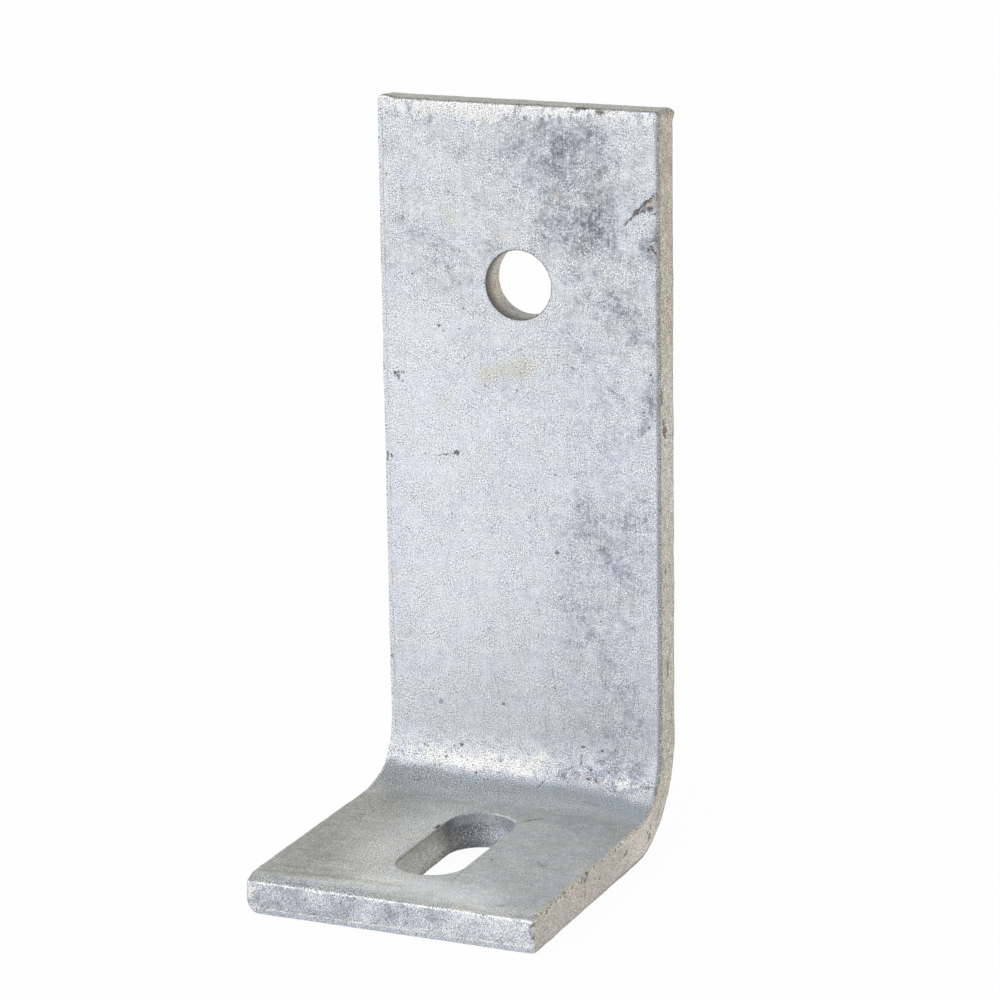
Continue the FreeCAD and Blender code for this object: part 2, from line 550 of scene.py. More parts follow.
def outline_arcs():
    """Rounded corners of the unfolded bar, from the leg's top right to its top left."""
    corners = [
        (1, 0, end_corner_radius, -0.5),
        (1, bar_length, end_corner_radius, 0),
        (-1, bar_length, toe_left_radius, 0.5),
        (-1, 0, end_corner_radius, 1),
    ]
    arcs = []
    for side, end, radius, turn in corners:
        along = radius if end == 0 else end - radius
        arcs.append((side * (half_width - radius), along, radius, turn * math.pi, (turn + 0.5) * math.pi))
    return arcs


hole_along = on_leg(0, hole_z)[1]
slot_along = on_foot(0, slot_y)[1]
slot_far_end = slot_along - slot_half_run
hole_arcs = [(0, hole_along, hole_radius, 0, 2 * math.pi)]
slot_arcs = [
    (0, slot_along + slot_half_run, slot_radius, 0, math.pi),
    (0, slot_far_end, slot_radius, math.pi, 2 * math.pi),
]


def slot_distance(flat):
    """Distance from the slot's middle line."""
    beyond = np.clip(np.abs(flat[:, 1] - slot_along) - slot_half_run, 0, None)
    return np.hypot(flat[:, 0], beyond)


def hole_distance(flat):
    return np.hypot(flat[:, 0], flat[:, 1] - hole_along)


def clear_of_fixings(flat, margin):
    """Whether points of a broad face lie outside the hole and the slot by a margin."""
    return (hole_distance(flat) > hole_radius + margin) & (slot_distance(flat) > slot_radius + margin)


def face_points(step):
    """An even triangular grid of points that keeps clear of the rims."""
    margin = edge_radius + 0.6 * step
    row_gap = step * math.sqrt(0.75)
    grid = []
    for row, along in enumerate(np.arange(margin, bar_length - margin, row_gap)):
        across = np.arange(-half_width + margin + (row % 2) * step / 2, half_width - margin, step)
        grid.append(np.column_stack([across, np.full(len(across), along)]))
    grid = np.concatenate(grid)
    return grid[clear_of_fixings(grid, punch_radius + 0.6 * step)]


class BarMesh:
    """Points of the unfolded bar with their outward directions, and the faces between them."""

    def __init__(self):
        self.plate, self.outward, self.flank, self.end, self.punched = [], [], [], [], []
        self.faces = []
        self.count = 0

    def add_points(self, plate, outward, flank=0.0, end=0.0, punched=0.0):
        """Adds points and returns their numbers."""
        numbers = np.arange(self.count, self.count + len(plate))
        self.count += len(plate)
        self.plate.append(plate)
        self.outward.append(outward)
        for field, values in ((self.flank, flank), (self.end, end), (self.punched, punched)):
            field.append(np.broadcast_to(values, len(plate)))
        return numbers

    def add_wall(self, places, normals, inner_rim, outer_rim, punched):
        """Adds a loop's wall with its two rounded rims, and returns the first and last rows of points."""
        flare = torn_flare if punched else 0.0
        angles = np.linspace(0, math.pi / 2, rim_rows + 1)
        steps = []
        for angle in angles:
            steps.append((inner_rim * (1 - math.sin(angle)), inner_rim * (1 - math.cos(angle)), angle))
        for share in np.linspace(0, 1, wall_rows + 1)[1:-1]:
            depth = inner_rim + share * (thickness - inner_rim - outer_rim)
            steps.append((np.zeros(len(places)), depth, math.pi / 2))
        for angle in angles[::-1]:
            depth = thickness - outer_rim * (1 - math.cos(angle))
            steps.append((outer_rim * (1 - math.sin(angle)), depth, math.pi - angle))
        rows = []
        for inset, depth, tilt in steps:
            widened = inset + flare * np.clip(depth / thickness - sheared_share, 0, 1) / (1 - sheared_share)
            plate = np.column_stack([places - normals * widened[:, None], depth])
            upright = math.sin(tilt)
            outward = np.column_stack([normals * upright, np.full(len(places), -math.cos(tilt))])
            if punched:
                rows.append(self.add_points(plate, outward, punched=upright))
            else:
                flank, end = upright * normals.T**2
                rows.append(self.add_points(plate, outward, flank, end))
        for upper, lower in zip(rows, rows[1:]):
            following_upper, following_lower = np.roll(upper, -1), np.roll(lower, -1)
            self.faces += np.column_stack([upper, following_upper, following_lower, lower]).tolist()
        return rows[0], rows[-1]

    def add_face(self, rims, inside, depth, side, rim_inset):
        """Fills a face between its rims with triangles. Side is -1 for the inner face, 1 for the outer."""
        plate = np.concatenate(self.plate)
        flat = [plate[rim][:, :2] for rim in rims]
        numbers = self.add_points(
            np.column_stack([inside, np.full(len(inside), depth)]),
            np.tile([0.0, 0.0, float(side)], (len(inside), 1)),
        )
        numbers = np.concatenate(list(rims) + [numbers])
        places = np.concatenate(flat + [inside])
        edges, start = [], 0
        for rim in rims:
            edges += [(start + i, start + (i + 1) % len(rim)) for i in range(len(rim))]
            start += len(rim)
        inside_edges = 1
        result = delaunay_2d_cdt([Vector(place) for place in places], edges, [], inside_edges, 1e-7)
        found_faces, point_origins = result[2], result[3]
        source = np.array([origins[0] for origins in point_origins])
        triangles = source[np.array(found_faces)]
        middles = places[triangles].mean(axis=1)
        triangles = numbers[triangles[clear_of_fixings(middles, rim_inset - 0.01)]]
        self.faces += (triangles if side > 0 else triangles[:, ::-1]).tolist()


def shaped(plate, outward):
    """The unfolded bar with its sheared ends, worn corner, spread foot and uneven zinc."""
    across, along, depth = plate.T.copy()
    to_toe = bar_length - along
    inward = 1 - depth / thickness
    depth += drawn_depth * np.clip(1 - to_toe / drawn_length, 0, 1) ** 2 * inward
    depth += top_roll_depth * np.clip(1 - along / top_roll_length, 0, 1) ** 2 * inward
    at_top = ramp(along, top_wear_reach, 0)
    along = along + at_top * top_back_roll * ramp(depth, thickness - back_roll_depth, thickness)
    at_left = ramp(-across, half_width - proud_corner_width, half_width - 1)
    along = along - at_top * proud_corner * at_left * inward
    turn = np.clip((along - leg_run) / mid_radius, 0, math.pi / 2)
    depth -= heel_thinning * np.sin(2 * turn) ** 2 * (1 - inward)
    torn = np.clip((depth - thickness + torn_height) / torn_height, 0, 1)
    along = along - torn_setback * torn * ramp(to_toe, torn_reach, 0.5)

    # The foot's left edge is spread a little wider than the leg's
    crease = on_fold(0, crease_degrees)[1]
    at_left = ramp(-across, half_width - foot_spread_width, half_width)
    spread = foot_spread + toe_spread * ramp(to_toe, toe_spread_reach, 1)
    spread *= ramp(along, crease, crease + foot_spread_start) * at_left
    across = across - spread * (0.6 + 0.4 * inward)

    # The lower left corner of the toe is worn round
    corner_across = np.clip((worn_corner_across - half_width - across) / worn_corner_across, 0, None)
    corner_depth = np.clip((depth - thickness + worn_corner_depth) / worn_corner_depth, 0, None)
    beyond = np.maximum(np.hypot(corner_across, corner_depth), 1.0)
    worn = (1 - 1 / beyond) * ramp(to_toe, worn_corner_reach, 1)
    across = across + worn * corner_across * worn_corner_across
    depth = depth - worn * corner_depth * worn_corner_depth

    on_rim = np.hypot(outward[:, 0], outward[:, 1])
    swell = uneven(plate, face_waves) + on_rim * uneven(plate, rim_waves)
    swell += foot_rim_crumbs(plate) * uneven(plate, crumb_waves)
    swell += mark_field(plate, lumps)
    return np.column_stack([across, along, depth]) + outward * swell[:, None]


def foot_rim_crumbs(plate):
    """1 on the crumbly upper rim at the right of the foot."""
    across, along, depth = plate.T
    on_edge = ramp(across, half_width - 1.0, half_width - 0.4) * ramp(depth, 1.9, 0.6)
    smooth_stretch = np.exp(-(((along - on_foot(0, -3)[1]) / 4.5) ** 2))
    return on_edge * ramp(along, foot_start - 14, foot_start + 2) * (1 - smooth_stretch)


def new_object(name, data):
    piece = bpy.data.objects.new(name, data)
    bpy.context.scene.collection.objects.link(piece)
    return piece


def make_bar():
    """The dressed bracket as one mesh, with its place on the unfolded bar and its marks as attributes."""
    bar = BarMesh()
    outline, normals = loop(outline_arcs(), rim_step, 1)
    outline_plate = np.column_stack([outline, np.zeros(len(outline))])
    rim = edge_radius * (1 + uneven(outline_plate, edge_waves))
    hole, hole_normals = loop(hole_arcs, rim_step, -1)
    slot, slot_normals = loop(slot_arcs, rim_step, -1)
    entry = [np.full(len(places), punch_radius) for places in (hole, slot)]
    rims = [
        bar.add_wall(outline, normals, rim, rim, False),
        bar.add_wall(hole, hole_normals, entry[0], entry[0] / 2, True),
        bar.add_wall(slot, slot_normals, entry[1], entry[1] / 2, True),
    ]
    widest_fine_mark = 1.3
    fine = small_mark_points(soil_marks + lumps, widest_fine_mark)
    inner_points = np.concatenate([face_points(face_step), fine])
    bar.add_face([inner for inner, outer in rims], inner_points, 0.0, -1, punch_radius)
    outer_inset = punch_radius / 2 + torn_flare
    bar.add_face([outer for inner, outer in rims], face_points(back_step), thickness, 1, outer_inset)
    plate, outward = np.concatenate(bar.plate), np.concatenate(bar.outward)
    places = folded(shaped(plate, outward)) * MM
    mesh = bpy.data.meshes.new("angle_bracket_dressed")
    mesh.from_pydata(places.tolist(), [], bar.faces)
    mesh.polygons.foreach_set("use_smooth", np.ones(len(mesh.polygons), bool))
    coordinates = mesh.attributes.new("plate", "FLOAT_VECTOR", "POINT")
    coordinates.data.foreach_set("vector", plate.astype(np.float32).ravel())
    patches = mark_field(strayed(plate), patches_and_painted_light) + mark_field(plate, grey_smudges)
    fields = {
        "flank": np.concatenate(bar.flank),
        "end": np.concatenate(bar.end),
        "punched": np.concatenate(bar.punched),
        "patch": soft_limit(patches),
        "flakes": mark_field(plate, flakes_and_painted_highlights),
        "smear": mark_field(plate, brown_smears),
        "ochre": mark_field(plate, ochre_stains),
        "soil": mark_field(plate, soil_marks),
        "rust": mark_field(plate, rust_marks),
        "crumbs": foot_rim_crumbs(plate),
        "rim": np.minimum(hole_distance(plate) - hole_radius, slot_distance(plate) - slot_radius),
    }
    for name, values in fields.items():
        mesh.attributes.new(name, "FLOAT", "POINT").data.foreach_set("value", values.astype(np.float32))
    mesh.update()
    return new_object("angle_bracket_dressed", mesh)


class Nodes:
    """Short ways to add shader nodes and join them. A colour is its red, green and blue."""

    def __init__(self, tree):
        self.tree = tree
        tree.nodes.clear()

    def add(self, kind, inputs=(), **settings):
        node = self.tree.nodes.new("ShaderNode" + kind)
        for name, value in settings.items():
            setattr(node, name, value)
        for name, value in dict(inputs).items():
            socket = node.inputs[name]
            if isinstance(value, bpy.types.NodeSocket):
                self.tree.links.new(value, socket)
            else:
                socket.default_value = (*value, 1.0) if socket.type == "RGBA" else value
        return node

    def maths(self, operation, first, second=0.0):
        return self.add("Math", {0: first, 1: second}, operation=operation).outputs[0]

    def total(self, *values):
        result = values[0]
        for value in values[1:]:
            result = self.maths("ADD", result, value)
        return result

    def times(self, *values):
        result = values[0]
        for value in values[1:]:
            result = self.maths("MULTIPLY", result, value)
        return result

    def rise(self, value, start, end, first=0.0, last=1.0):
        """First before start, last after end and smooth between them."""
        inputs = {"Value": value, "From Min": start, "From Max": end, "To Min": first, "To Max": last}
        return self.add("MapRange", inputs, interpolation_type="SMOOTHSTEP").outputs["Result"]

    def mix(self, factor, first, second):
        """Mix of two colours."""
        return self.add("Mix", {0: factor, 6: first, 7: second}, data_type="RGBA").outputs[2]

    def blend(self, factor, first, second):
        """Mix of two numbers."""
        return self.add("Mix", {0: factor, 2: first, 3: second}).outputs[0]

    def painted(self, tint, paint, *amounts):
        """A colour with paint over it, as much as the amounts multiply to."""
        return self.mix(self.times(*amounts), tint, paint)

    def shades(self, value, *colours):
        """Colour ramp with evenly spread colours."""
        node = self.add("ValToRGB", {"Fac": value})
        stops = node.color_ramp.elements
        while len(stops) < len(colours):
            stops.new(0.5)
        for index, (stop, tint) in enumerate(zip(stops, colours)):
            stop.position = index / (len(colours) - 1)
            stop.color = (*tint, 1.0)
        return node.outputs["Color"]

    def attribute(self, name, output="Fac"):
        return self.add("Attribute", attribute_name=name).outputs[output]

    def stretched(self, vector, across, along, depth):
        inputs = {0: vector, 1: (1 / across, 1 / along, 1 / depth)}
        return self.add("VectorMath", inputs, operation="MULTIPLY").outputs["Vector"]

    def noise(self, vector, size, detail=2.0, roughness=0.5):
        """Noise about a half, with blobs of that size in millimetres."""
        inputs = {"Vector": vector, "Scale": 1 / size, "Detail": detail, "Roughness": roughness}
        return self.add("TexNoise", inputs).outputs["Fac"]

    def swing(self, value, amount):
        """Noise made to swing about zero by that amount."""
        return self.maths("MULTIPLY", self.maths("SUBTRACT", value, 0.5), amount)

    def brighter(self, tint, value):
        """A colour made brighter or darker by a factor."""
        return self.add("HueSaturation", {"Color": tint, "Value": value}).outputs["Color"]


class Zinc(Nodes):
    """Weathered hot-dip zinc: the noises and marks on it, and the colour of each part of the bar, with
    painted light and shade in places.
    """

    def __init__(self, tree):
        super().__init__(tree)
        plate = self.attribute("plate", "Vector")
        self.across, self.along, self.depth = self.add("SeparateXYZ", {0: plate}).outputs
        for name in "flank end punched patch flakes smear ochre soil rust crumbs rim".split():
            setattr(self, name, self.attribute(name))

        # Noises over the bar, from fine to broad, and those drawn out along or across it
        mirrored = self.stretched(plate, -1.0, -1.0, -1.0)
        self.grain = self.hatched(plate, 0.19, 0.45)
        self.crumble = self.noise(plate, 0.5, 2.0, 0.6)
        self.speckle = self.noise(plate, 1.0, 2.0, 0.6)
        self.blotch = self.noise(plate, 2.6, 3.0, 0.65)
        self.drift = self.noise(mirrored, 6.5, 3.0, 0.6)
        self.mottle = self.noise(plate, 7.0, 6.0, 0.72)
        self.tinge = self.noise(mirrored, 8.0, 1.0, 0.5)
        self.clouds = self.noise(plate, 9.0, 4.0, 0.6)
        self.broad = self.noise(plate, 34.0, 2.0, 0.5)
        self.rolled = self.noise(self.stretched(plate, 0.24, 20.0, 0.24), 1.0, 2.0, 0.6)
        self.rags = self.noise(self.stretched(plate, 1.6, 4.5, 1.6), 1.0, 3.0, 0.65)
        self.brushed = self.noise(self.stretched(plate, 14.0, 0.45, 0.45), 1.0, 2.0, 0.6)
        self.side_streaks = self.noise(self.stretched(plate, 0.5, 4.5, 0.5), 1.0, 4.0, 0.75)
        self.end_streaks = self.noise(self.stretched(plate, 0.8, 1.0, 2.2), 1.0, 3.0, 0.65)

        # The crease, where the leg's finish gives way to the foot's: lower in the middle and at the right
        crease = on_fold(0, crease_degrees)[1]
        lower = self.total(
            self.rise(self.across, 16, 40, 0.0, -4.6),
            self.times(self.rise(self.across, -28, -18, 0.0, -1.2), self.rise(self.across, 14, 4)),
        )
        self.past_crease = self.total(self.along, -crease, lower)
        wavy = self.varied(self.past_crease, blotch=5.0, clouds=6.0)
        sharpness = self.rise(self.across, -28, -16, 1.0, 0.5)
        self.on_foot = self.rise(self.times(wavy, sharpness), -1.1, 1.1)

        # Small marks all over
        self.torn = self.rise(self.varied(self.depth, blotch=1.4), 2.2, 3.2)
        self.specks = self.rise(self.varied(self.speckle, clouds=0.4), 0.68, 0.77)
        self.wrinkles = self.line_along(self.blotch, 0.03)
        self.crazing = self.line_along(self.speckle, 0.05)
        self.scratches = self.times(self.line_along(self.clouds, 0.006), self.rise(self.drift, 0.46, 0.56))
        dark_scores = self.rise(self.rolled, 0.36, 0.28, 0.0, -1.0)
        self.scores = self.total(self.rise(self.rolled, 0.64, 0.72), dark_scores)

    def hatched(self, vector, width, length):
        """Fine noise of short strokes that lean both ways, with its dark side drawn out."""
        leaning = []
        for lean in (-0.7, 0.7):
            turned = self.add("VectorRotate", {"Vector": vector, "Angle": lean}, rotation_type="Z_AXIS")
            strokes = self.stretched(turned.outputs["Vector"], width, length, width)
            leaning.append(self.noise(strokes, 1.0, 1.0, 0.6))
        even = self.times(self.total(*leaning), 0.5)
        return self.total(self.times(self.maths("POWER", even, 0.25), 2**1.25), -1.5)

    def line_along(self, field, width):
        """1 on the lines where a noise passes through a half."""
        return self.rise(self.maths("ABSOLUTE", self.swing(field, 1.0)), width, 0.0)

    def varied(self, middle, **amounts):
        """A value that the named noises swing about its middle, each by its amount."""
        return self.total(middle, *(self.swing(getattr(self, name), amounts[name]) for name in amounts))

    def weighted(self, **amounts):
        """Sum of the named marks, each times its amount."""
        return self.total(*(self.times(getattr(self, name), amounts[name]) for name in amounts))

    def ragged(self, value=0.0):
        """Broken edges for patches and stains."""
        return self.varied(value, clouds=0.8, blotch=1.2, speckle=0.8)

    def glazed(self, tint, amount, glaze):
        """A colour seen through a faint glaze."""
        inputs = {0: amount, 6: tint, 7: glaze}
        return self.add("Mix", inputs, data_type="RGBA", blend_type="MULTIPLY").outputs[2]

    def tinged(self, tint, amount, first, last):
        """A colour that leans towards one of two faint tints from place to place."""
        return self.glazed(tint, 1.0, self.shades(self.varied(0.5, tinge=amount), first, (1, 1, 1), last))

    def leg(self):
        """Lavender-grey, mottled most towards the top, with fine scores along the bar, white flaking and
        painted highlights.
        """
        towards_top = self.rise(self.along, 95, 45, -0.08, 0.0)
        mottled = self.rise(self.total(self.mottle, self.times(self.patch, -0.28), towards_top), 0.46, 0.74)
        tone = self.total(
            self.varied(0.745, broad=0.3, clouds=0.55, blotch=1.0, speckle=0.9, rolled=0.4),
            self.weighted(scores=0.27, wrinkles=-0.09, crazing=-0.12, specks=-0.25, patch=0.2),
            self.times(mottled, -0.27),
        )
        greys = ((0.17, 0.18, 0.21), (0.41, 0.43, 0.475), (0.62, 0.645, 0.69))
        tint = self.shades(tone, *greys, (0.75, 0.775, 0.82), (0.84, 0.86, 0.895))
        tint = self.tinged(tint, 1.6, (0.965, 0.985, 1.02), (1.02, 0.995, 0.955))
        return self.flaked_and_highlighted(self.glazed(tint, self.rise(self.along, 45, 90), (1.0, 1.002, 1.03)))

    def flaked_and_highlighted(self, tint):
        """White flaking of the zinc and painted highlights, with dark pits between them."""
        broken = self.ragged(self.varied(self.flakes, rags=2.6, mottle=2.6))
        nearby = self.rise(self.flakes, 0.1, 0.4)
        between = self.times(self.rise(self.flakes, 0.45, 0.9), self.rise(broken, 0.7, 0.2))
        tint = self.brighter(tint, self.rise(between, 0.0, 1.0, 1.0, 0.8))
        tint = self.painted(tint, (0.95, 0.945, 0.93), self.rise(broken, 0.5, 0.9), nearby, 0.9)
        pits = self.rise(self.varied(self.crumble, blotch=0.4), 0.43, 0.35)
        return self.painted(tint, (0.22, 0.22, 0.23), pits, nearby, 0.65)

    def foot(self):
        """Smoother green-grey with faint brushed streaks and scratches, darker than the leg partly as
        painted shade, blue by the crease partly as a painted reflection, with painted shade just below the
        crease.
        """
        light = self.total(
            self.varied(1.0, broad=0.4, clouds=0.45, brushed=0.65, blotch=0.65, speckle=0.6),
            self.weighted(patch=0.5, wrinkles=-0.08, scratches=-0.12),
            self.rise(self.along, bar_length - 5, bar_length - 1, 0.0, 0.24),
        )
        # Green-grey darker than the leg's grey: partly painted shade
        tint = self.brighter((0.53, 0.535, 0.512), light)
        olive = self.times(self.rise(self.across, 2, -32), self.rise(self.past_crease, 12, 40, 0.0, 0.45))
        tint = self.mix(olive, tint, self.brighter((0.515, 0.50, 0.45), light))
        drawn = self.rise(self.along, bar_length - 6.5, bar_length - 4)
        drawn_tint = self.brighter((0.53, 0.55, 0.565), light)
        tint = self.painted(tint, drawn_tint, drawn, self.rise(self.across, 8, -16), 0.75)
        tint = self.tinged(tint, 1.5, (0.97, 1.0, 1.025), (1.03, 1.002, 0.91))
        # Bluer towards the crease: partly a painted reflection
        tint = self.mix(self.rise(self.past_crease, 17, 0, 0.0, 0.75), tint, (0.49, 0.55, 0.605))
        # Darker just below the crease, a little paler about 10 mm past it: painted shade and painted light
        dim = self.rise(self.across, -28, -14, 0.84, 0.97)
        light = self.total(
            self.blend(self.rise(self.past_crease, 0, 7), dim, 1.0),
            self.rise(self.past_crease, 5, 10, -0.04, 0.03),
            self.rise(self.past_crease, 10, 20, 0.0, -0.03),
        )
        return self.brighter(tint, light)

    def side(self):
        """Rolled sides: tan on the leg, pinker and smoother on the foot, warm partly as a painted
        reflection of warm surroundings and painted lighter in the fold, with an olive outer rim.
        """
        tone = self.total(
            self.varied(0.48, side_streaks=2.6, speckle=0.6, blotch=0.9, clouds=0.8),
            self.weighted(specks=-0.5),
            self.times(self.rise(self.along, 55, 75, 0.0, 0.14), self.rise(self.along, 125, 105)),
        )
        # Tan and pink: partly a painted warm reflection
        tan = self.shades(tone, (0.33, 0.295, 0.235), (0.57, 0.52, 0.445), (0.82, 0.77, 0.69))
        smooth = self.total(0.16, self.times(tone, 0.55))
        pink = self.shades(smooth, (0.36, 0.32, 0.285), (0.525, 0.475, 0.44), (0.68, 0.635, 0.595))
        pink = self.mix(self.rise(self.ragged(), 0.1, 0.4, 0.0, 0.5), pink, (0.46, 0.44, 0.38))
        # The pink side brighter in the fold: partly painted light
        before_foot = self.rise(self.past_crease, 28, 12, 1.0, 1.3)
        in_fold = self.times(self.rise(self.past_crease, -8, 4), before_foot)
        pink = self.brighter(pink, self.maths("MAXIMUM", in_fold, 1.0))
        tint = self.mix(self.on_foot, tan, pink)
        outer_rim = self.rise(self.varied(self.depth, blotch=3.0), thickness - 1.6, thickness - 0.4)
        return self.painted(tint, (0.31, 0.295, 0.235), outer_rim, 0.65)

    def ends(self):
        """Sheared ends: the toe mottled blue-white with a torn ridge, the leg's top end olive-grey and
        darker, partly painted shade.
        """
        mottle = self.total(
            self.varied(0.0, end_streaks=0.4, blotch=0.4, speckle=0.2, clouds=1.6),
            self.weighted(specks=-0.25, wrinkles=-0.05),
        )
        toe_tone = self.total(0.54, mottle, self.rise(self.across, -half_width, half_width, -0.18, 0.04))
        blues = ((0.24, 0.25, 0.275), (0.43, 0.455, 0.50), (0.60, 0.63, 0.69))
        toe = self.shades(toe_tone, *blues, (0.76, 0.78, 0.82), (0.93, 0.93, 0.93))
        ridge = thickness - torn_height
        toe = self.painted(toe, (0.50, 0.535, 0.60), self.rise(self.depth, ridge, ridge + 0.5), 0.75)
        off_ridge = self.maths("ABSOLUTE", self.total(self.varied(self.depth, blotch=1.0), -ridge))
        bright = self.rise(self.blotch, 0.42, 0.56, 0.0, 0.85)
        toe = self.painted(toe, (0.90, 0.885, 0.82), self.rise(off_ridge, 0.4, 0.1), bright)
        # The leg's top end darker olive-grey: partly painted shade
        top_tone = self.total(0.5, self.times(mottle, 0.6))
        top = self.shades(top_tone, (0.30, 0.295, 0.26), (0.44, 0.435, 0.395), (0.62, 0.61, 0.58))
        return self.mix(self.rise(self.along, 20, 30), top, self.flaked_and_highlighted(toe))

    def punched_walls(self):
        """Dark and brown where the punch went in and paler below; the slot darker towards its far end and
        bottom edge as painted shade, its far end dark at the left and blue at the right as painted shade
        and partly a painted reflection; painted glints in both.
        """
        tone = self.varied(0.0, side_streaks=0.9, speckle=1.0, clouds=0.5)
        # Bright flecks where the wall is torn: painted glints
        painted_glints = self.times(self.rise(self.grain, 0.56, 0.66), self.torn)

        deep = self.total(self.rise(self.depth, 0.2, 6.0), tone)
        brown = self.shades(deep, (0.145, 0.13, 0.105), (0.38, 0.345, 0.29), (0.56, 0.515, 0.445))
        grey = self.shades(deep, (0.165, 0.16, 0.15), (0.275, 0.27, 0.255), (0.40, 0.395, 0.38))
        hole = self.mix(self.rise(self.along, hole_along + 4, hole_along + 8), brown, grey)
        hole = self.painted(hole, (0.80, 0.77, 0.70), painted_glints, 0.35)

        # The slot darker towards its far end and its bottom edge: painted shade
        by_far_end = self.rise(self.along, slot_far_end + 9, slot_far_end, 0.0, -0.35)
        low_edge = self.rise(self.depth, thickness - 3.5, thickness - 0.3, 0.0, -0.35)
        slot_tone = self.total(0.55, tone, by_far_end, low_edge)
        slot = self.shades(slot_tone, (0.15, 0.145, 0.13), (0.40, 0.395, 0.36), (0.60, 0.60, 0.57))
        # Far end dark at the left and pale blue at the right: painted shade, and partly a painted
        # reflection
        to_right = self.rise(self.across, -8, 8.5)
        smooth_end = self.mix(to_right, (0.36, 0.375, 0.39), (0.68, 0.73, 0.80))
        rough_end = self.mix(to_right, (0.20, 0.205, 0.21), (0.71, 0.77, 0.88))
        light = self.total(1.0, self.times(tone, self.rise(self.torn, 0.0, 1.0, 0.2, 0.6)), low_edge)
        lit_end = self.brighter(self.mix(self.torn, smooth_end, rough_end), light)
        lit_end = self.painted(lit_end, (0.85, 0.90, 1.0), painted_glints, self.rise(self.across, -6, 7, 0.1, 0.8))
        slot = self.mix(self.rise(self.along, slot_far_end + 2, slot_far_end - 5), slot, lit_end)
        return self.mix(self.rise(self.along, leg_run, foot_start), hole, slot)

    def edges(self, tint):
        """Rims of the fixings and long edges: a painted shade line round the fixings with a painted
        highlight at the slot's far end, the left edge a painted highlight with a painted shade line, the
        right one painted shade, and a painted highlight along the toe's top edge.
        """
        # A dark line round the hole and slot: painted shade
        tint = self.mix(self.rise(self.rim, 1.1, 0.1, 0.0, 0.35), tint, (0.30, 0.30, 0.29))
        by_far_end = self.times(
            self.rise(self.along, slot_far_end + 3, slot_far_end - 3),
            self.rise(self.along, leg_run, foot_start),
        )
        # A bright line on the slot's far rim: painted highlight
        painted_rim_highlight = self.times(by_far_end, self.rise(self.rags, 0.44, 0.54))
        tint = self.painted(tint, (0.80, 0.81, 0.82), self.rise(self.rim, 0.75, 0.3), painted_rim_highlight, 0.8)

        # A pale band along the left edge: painted highlight
        from_left = self.total(self.across, half_width)
        above_crease = self.maths("SUBTRACT", 1.0, self.on_foot)
        tint = self.painted(tint, (0.72, 0.76, 0.83), self.rise(from_left, 1.5, 1.2), above_crease, 0.5)
        # A dark line 1.5 mm in from the left edge: painted shade
        off_line = self.maths("ABSOLUTE", self.total(from_left, -1.5))
        broken = self.rise(self.clouds, 0.38, 0.55)
        tint = self.painted(tint, (0.30, 0.32, 0.35), self.rise(off_line, 0.3, 0.08), broken, 0.36)

        # A dark band on the right edge between front and side: painted shade
        right_rim = self.rise(self.varied(self.across, blotch=1.2), half_width - 1.5, half_width - 0.8)
        off_side = self.rise(self.flank, 1.0, 0.8)
        right_rim = self.times(right_rim, off_side, self.rise(self.past_crease, 2, -8))
        tint = self.painted(tint, (0.27, 0.27, 0.24), right_rim, 0.7)

        tone = self.varied(0.56, crumble=3.6, speckle=1.2, blotch=0.8)
        crumbly = self.shades(tone, (0.20, 0.17, 0.12), (0.54, 0.50, 0.43), (0.86, 0.84, 0.76))
        crumbs = self.rise(self.varied(self.crumbs, speckle=2.2), 0.45, 0.8)
        tint = self.painted(tint, crumbly, crumbs, 0.95)

        # A bright broken line along the toe's top edge: painted highlight
        on_toe = self.rise(self.along, bar_length - 3, bar_length - 1.5)
        on_rim = self.times(self.rise(self.end, 0.3, 0.5), self.rise(self.end, 0.85, 0.65))
        painted_toe_highlight = self.times(on_toe, on_rim, self.rise(self.depth, 3.0, 2.0))
        return self.painted(tint, (0.97, 0.965, 0.95), painted_toe_highlight, self.rise(self.blotch, 0.42, 0.56), 0.9)

    def marked(self, tint):
        """The colour with stains, smears, soil, rust and small dark specks, and where the soil lies."""
        stain = self.rise(self.ragged(self.ochre), 0.3, 0.95)
        stain_tint = self.mix(self.end, (0.64, 0.60, 0.47), (0.44, 0.43, 0.31))
        tint = self.painted(tint, stain_tint, stain, self.blend(self.end, 0.5, 0.6))
        smear = self.rise(self.varied(self.smear, crumble=1.6, speckle=0.8), 0.3, 0.8)
        tint = self.painted(tint, (0.54, 0.435, 0.38), smear, 0.6)
        tint = self.painted(tint, (0.20, 0.19, 0.18), self.specks, 0.4)
        dirt = self.rise(self.varied(self.soil, crumble=1.3, speckle=0.8), 0.3, 0.75)
        tint = self.painted(tint, (0.09, 0.08, 0.08), dirt, 0.85)
        rusty = self.rise(self.varied(self.rust, crumble=1.6, speckle=0.7), 0.3, 0.6)
        tint = self.painted(tint, (0.14, 0.105, 0.07), rusty, 0.82)
        flecks = self.rise(self.varied(self.speckle, clouds=0.5), 0.62, 0.68)
        return self.painted(tint, (0.20, 0.17, 0.12), flecks, self.flank, 0.5), dirt

